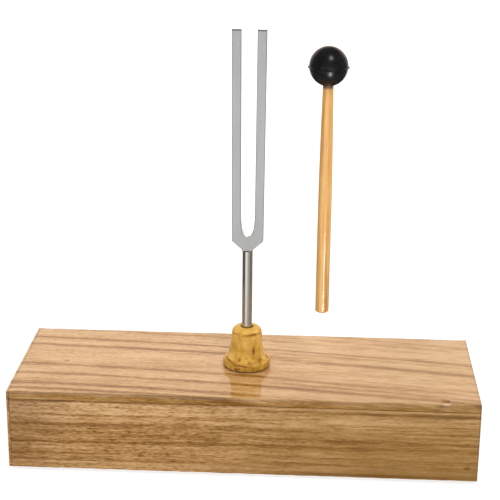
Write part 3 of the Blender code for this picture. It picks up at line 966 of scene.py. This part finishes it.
BACKDROP = (1.05, 1.05, 1.05)
FAR_WALL = (1.20, 1.13, 1.03)
WARM_WALL = (1.31, 0.98, 0.77)
DUSK = (0.13, 0.13, 0.13)
CEILING = (0.16, 0.16, 0.16)
GROUND = (0.09, 0.08, 0.07)
DARK_LEFT = (0.15, 0.118, 0.088)
DARK_RIGHT = (0.23, 0.200, 0.155)
WHITE_CARD = (1.28, 1.28, 1.26)
BRIGHT_CARD = (0.90, 0.91, 0.91)
GREY_CARD = (0.56, 0.57, 0.55)
LOW_GREY_CARD = (0.46, 0.465, 0.44)

# Each ring goes round the room by compass angle in degrees: 0 is in front, positive to the right.
GROUND_RING = ((-180, GROUND), (180, GROUND))
LOW_RING = (
    (-180, BACKDROP),
    (-150, BACKDROP),
    (-134, DARK_LEFT),
    (-52, DARK_LEFT),
    (-36, WHITE_CARD),
    (-14, WHITE_CARD),
    (0, BRIGHT_CARD),
    (20, GREY_CARD),
    (46, LOW_GREY_CARD),
    (62, DARK_RIGHT),
    (134, DARK_RIGHT),
    (150, BACKDROP),
    (180, BACKDROP),
)
MIDDLE_RING = (
    (-180, FAR_WALL),
    (-145, FAR_WALL),
    (-115, DUSK),
    (115, DUSK),
    (145, FAR_WALL),
    (180, FAR_WALL),
)
HIGH_RING = (
    (-180, WARM_WALL),
    (-140, WARM_WALL),
    (-115, DUSK),
    (115, DUSK),
    (140, WARM_WALL),
    (180, WARM_WALL),
)


def make_reflection_room():
    """What varnish and metal mirror: a white backdrop behind, a warm wall above it, darker sides, and
    pale cards low in front."""
    g = Graph("reflection_room")
    parts = g.node("SeparateXYZ", {0: g.vector("NORMALIZE", g.place)}).outputs
    compass = g.math("ARCTAN2", parts[0], g.math("MULTIPLY", parts[1], -1.0))
    turn_share = g.math("MULTIPLY_ADD", compass, 0.5 / math.pi, 0.5)
    right_angle = math.pi / 2
    degrees = {"From Min": -right_angle, "From Max": right_angle, "To Min": -90.0, "To Max": 90.0}
    rise = g.node("MapRange", {"Value": g.math("ARCSINE", parts[2]), **degrees}).outputs[0]

    def ring(stops):
        return g.ramp(turn_share, [((angle + 180) / 360, colour) for angle, colour in stops])

    room = g.mix(g.limits(rise, -26.0, -21.5), ring(GROUND_RING), ring(LOW_RING))
    room = g.mix(g.limits(rise, -4.0, 2.0), room, ring(MIDDLE_RING))
    room = g.mix(g.limits(rise, 18.5, 22.0), room, ring(HIGH_RING))
    room = g.mix(g.limits(rise, 31.0, 38.0), room, CEILING)
    emission = g.node("Emission", {"Color": room, "Strength": 1.0})
    output = g.node("OutputMaterial")
    g.tree.links.new(emission.outputs[0], output.inputs["Surface"])
    shape = bmesh.new()
    bmesh.ops.create_uvsphere(shape, u_segments=64, v_segments=32, radius=ROOM_RADIUS)
    sphere = add_stage("reflection_room", shape, g.material)
    sphere.visible_camera = False
    sphere.visible_diffuse = False
    sphere.visible_shadow = False
    sphere.visible_transmission = False


def area_light(name, location, target, width, height, power):
    data = bpy.data.lights.new(name, "AREA")
    data.shape = "RECTANGLE"
    data.size = width
    data.size_y = height
    data.energy = power
    light = bpy.data.objects.new(name, data)
    light.location = location
    aim = Vector(target) - Vector(location)
    light.rotation_mode = "QUATERNION"
    light.rotation_quaternion = aim.to_track_quat("-Z", "X" if abs(aim.z) > 0.99 * aim.length else "Y")
    light.visible_camera = False
    bpy.context.scene.collection.objects.link(light)
    return light


def light_only(light, piece):
    """Make a light fall on one piece alone."""
    receivers = bpy.data.collections.new("lit_by_" + light.name)
    receivers.objects.link(piece)
    light.light_linking.receiver_collection = receivers


def low_card(name, piece, distance, compass, width, length, power):
    """A bright card lying on the table and facing up, in line with the mallet, that lights one piece."""
    low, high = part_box("mallet_handle")
    angle = math.radians(compass)
    place = ((low.x + high.x) / 2 + distance * math.sin(angle), -distance * math.cos(angle), CARD_HEIGHT)
    card = area_light(name, place, (place[0], place[1], 1.0), width, length, power)
    card.rotation_mode = "XYZ"
    card.rotation_euler = (math.pi, 0.0, angle)
    light_only(card, piece)


def light_studio(ball, handle):
    """White room light, two softboxes above, two low cards that only the mallet catches, and a card
    behind that whitens the fork's upward faces."""
    world = bpy.data.worlds.new("white_room")
    world.use_nodes = True
    background = world.node_tree.nodes["Background"]
    background.inputs["Color"].default_value = (1.0, 1.0, 1.0, 1.0)
    background.inputs["Strength"].default_value = 1.0
    bpy.context.scene.world = world
    area_light("key_softbox", (0.30, -0.64, 1.25), (0.05, 0.0, 0.1), 0.22, 0.30, 5.0)
    overhead = area_light("overhead_softbox", (0.0, 0.25, 1.60), (0.0, 0.0, 0.05), 0.90, 0.60, 6.0)
    overhead.visible_glossy = False
    low_card("handle_card", handle, 0.30, 18.0, 0.036, 0.30, 1.1)
    low_card("ball_card", ball, 0.43, 11.2, 0.035, 0.32, 2.7)
    back_card = area_light("back_card", (-0.05, 0.95, 0.46), (0.0, 0.0, 0.22), 0.60, 0.50, 2.2)
    light_only(back_card, NODES["fork"])
    bpy.context.scene.view_settings.view_transform = "Standard"


# ---------------------------------------------------------------- camera

CAMERA_PLACE = (0.0436, -0.866, 0.4361)
CAMERA_YAW = -2.780  # degrees from +Y towards +X
CAMERA_DIP = 18.843  # degrees below the horizon
CAMERA_ROLL = 0.589
CAMERA_LENS = 98.9  # mm, on a sensor 36 mm wide


def make_camera():
    data = bpy.data.cameras.new("camera")
    data.sensor_width = 36.0
    data.lens = CAMERA_LENS
    camera = bpy.data.objects.new("camera", data)
    yaw = Matrix.Rotation(math.radians(-CAMERA_YAW), 4, "Z")
    dip = Matrix.Rotation(math.radians(90 - CAMERA_DIP), 4, "X")
    roll = Matrix.Rotation(math.radians(CAMERA_ROLL), 4, "Z")
    camera.matrix_world = Matrix.Translation(CAMERA_PLACE) @ yaw @ dip @ roll
    bpy.context.scene.collection.objects.link(camera)
    bpy.context.scene.camera = camera


# ---------------------------------------------------------------- assembly


def repaint_cad_nodes(woods):
    aluminium = make_aluminium()
    steel = make_steel()
    foot_rubber = make_rubber("foot_rubber_matte", (0.028, 0.028, 0.028), 0.75, 0.4)
    for node in NODES:
        if node.startswith("glue_strip") or node == "top_block":
            repaint(node, woods["bare"])
        elif node.startswith("foot_"):
            repaint(node, foot_rubber)
    for node in ("stem", "socket_screw", "socket_washer"):
        repaint(node, steel)
    repaint("fork", aluminium)


woods = make_box_woods()
rubber = make_rubber("moulded_rubber", (0.0045, 0.0041, 0.0045), 0.27, 0.16)
repaint_cad_nodes(woods)
build_boards(woods)
build_socket()
ball = build_ball(rubber)
handle = build_handle()
make_floor()
make_reflection_room()
light_studio(ball, handle)
make_camera()
